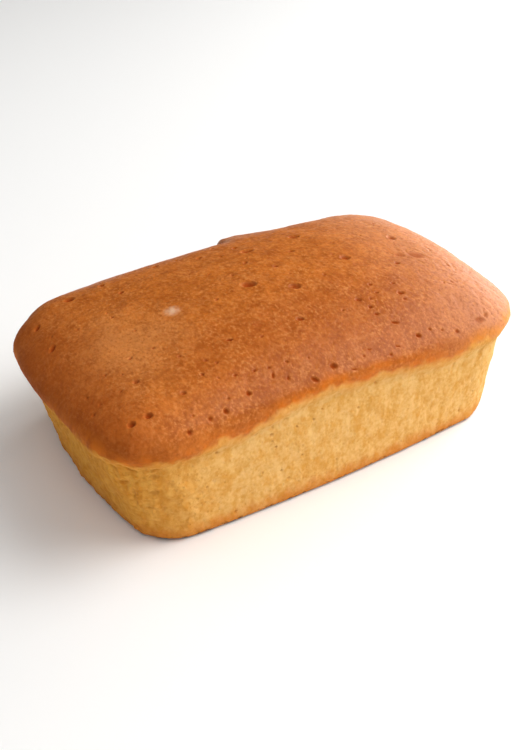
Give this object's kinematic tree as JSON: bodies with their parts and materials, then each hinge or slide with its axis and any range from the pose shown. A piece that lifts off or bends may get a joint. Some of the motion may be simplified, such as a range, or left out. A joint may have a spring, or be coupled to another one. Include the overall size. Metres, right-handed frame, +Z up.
{
  "type": "butter cake, mini loaf",
  "caption": "Small oblong butter cake with a domed brown crust pitted by burst bubbles, leaning golden crumb sides and a flat foot.",
  "frame": {"origin": "middle of the cake's box seen from above, at the level of the flat foot it rests on", "axes": "+X along the cake, +Z up; the long side at -Y is the front"},
  "size_m": [0.1044, 0.0702, 0.0357],
  "materials": {
    "cake": "soft baked crust, slightly glossy, over matt golden crumb"
  },
  "bodies": {
    "root": {"cake": "cake"}
  },
  "joints": []
}
